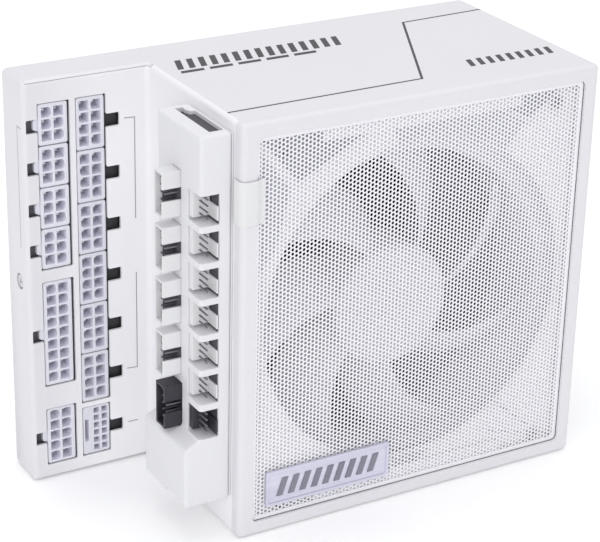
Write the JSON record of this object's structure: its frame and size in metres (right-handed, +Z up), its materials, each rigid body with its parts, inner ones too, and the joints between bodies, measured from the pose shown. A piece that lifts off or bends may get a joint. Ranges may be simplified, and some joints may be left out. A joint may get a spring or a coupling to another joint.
{
  "type": "computer power supply",
  "caption": "Modular desktop computer power supply with a stepped socket face, a fan behind a magnetic dust filter, and a clip-on fan and USB hub.",
  "frame": {"origin": "centre of the bottom of the bounding box", "axes": "+Z up, standing on its long narrow side as pictured; -Y is the fan face; +X is the mains end; -X is the stepped socket end"},
  "size_m": [0.1874, 0.0866, 0.15],
  "materials": {
    "white_powder_coat": "fine satin powder coat",
    "white_plastic": "matte moulded",
    "socket_nylon": "matte moulded, slightly lilac",
    "black_plastic": "matte moulded",
    "capacitor_case": "gloss sleeve",
    "steel": "bright",
    "magnet": "plated",
    "badge_metal": "satin",
    "white_ribbon": "woven",
    "circuit_board": "solder mask",
    "insulation_film": "translucent",
    "aluminium": "extruded",
    "ferrite": "matte",
    "copper_winding": "enamelled wire",
    "film_capacitor": "moulded case",
    "brass": "bright"
  },
  "bodies": {
    "casing": {"ac_inlet": "black_plastic", "ac_inlet_pins": "brass", "bulk_capacitor_1": "capacitor_case", "bulk_capacitor_2": "capacitor_case", "chassis_shell": "white_powder_coat", "cover_shell": "white_powder_coat", "emi_choke": "ferrite", "end_screw": "steel", "exhaust_grille": "steel", "fan_bearing": "brass", "fan_duct": "white_plastic", "fan_frame": "white_plastic", "fan_mount_plate": "white_powder_coat", "fan_stator": "copper_winding", "insulation_sheet": "insulation_film", "line_capacitor": "film_capacitor", "main_board": "circuit_board", "main_transformer": "ferrite", "modular_board": "circuit_board", "output_capacitor": "capacitor_case", "pfc_choke": "copper_winding", "plate_screw_1": "steel", "plate_screw_2": "steel", "plate_screw_3": "steel", "plate_screw_4": "steel", "primary_heatsink": "aluminium", "secondary_heatsink": "aluminium", "socket_10pin": "socket_nylon", "socket_12pin": "socket_nylon", "socket_18pin": "socket_nylon", "socket_6pin_1": "socket_nylon", "socket_6pin_2": "socket_nylon", "socket_6pin_3": "socket_nylon", "socket_6pin_4": "socket_nylon", "socket_8pin_1": "socket_nylon", "socket_8pin_2": "socket_nylon", "socket_8pin_3": "socket_nylon", "socket_8pin_4": "socket_nylon", "socket_8pin_5": "socket_nylon", "socket_8pin_6": "socket_nylon", "socket_panel": "white_powder_coat", "standby_transformer": "ferrite", "switch_bezel": "black_plastic"},
    "rotor": {"fan_impeller": "white_plastic", "fan_shaft": "steel"},
    "rocker": {"rocker_switch": "black_plastic"},
    "filter": {"filter_badge": "badge_metal", "filter_magnet_bottom": "magnet", "filter_magnet_top": "magnet", "filter_mesh": "steel", "filter_pull_tab": "white_ribbon"},
    "hub": {"hub_back_cover": "white_plastic", "hub_board": "circuit_board", "hub_fan_headers": "white_plastic", "hub_housing": "white_plastic", "hub_magnet_bottom": "magnet", "hub_magnet_top": "magnet", "hub_power_header": "black_plastic", "hub_pwm_header": "black_plastic", "hub_usb_headers": "socket_nylon"}
  },
  "joints": [
    {"name": "fan_spin", "type": "hinge", "parent": "casing", "child": "rotor", "pos_m": [0.01836, -0.02016, 0.069], "axis": [0, 1, 0], "continuous": true},
    {"name": "switch_rock", "type": "hinge", "parent": "casing", "child": "rocker", "pos_m": [0.08926, 0.01534, 0.092], "axis": [0, 1, 0], "range_deg": [-16, 0]},
    {"name": "filter_slide", "type": "slide", "parent": "casing", "child": "filter", "axis": [0, -1, 0], "range_m": [0, 0.03]},
    {"name": "hub_slide", "type": "slide", "parent": "casing", "child": "hub", "axis": [-1, 0, 0], "range_m": [0, 0.03]}
  ]
}
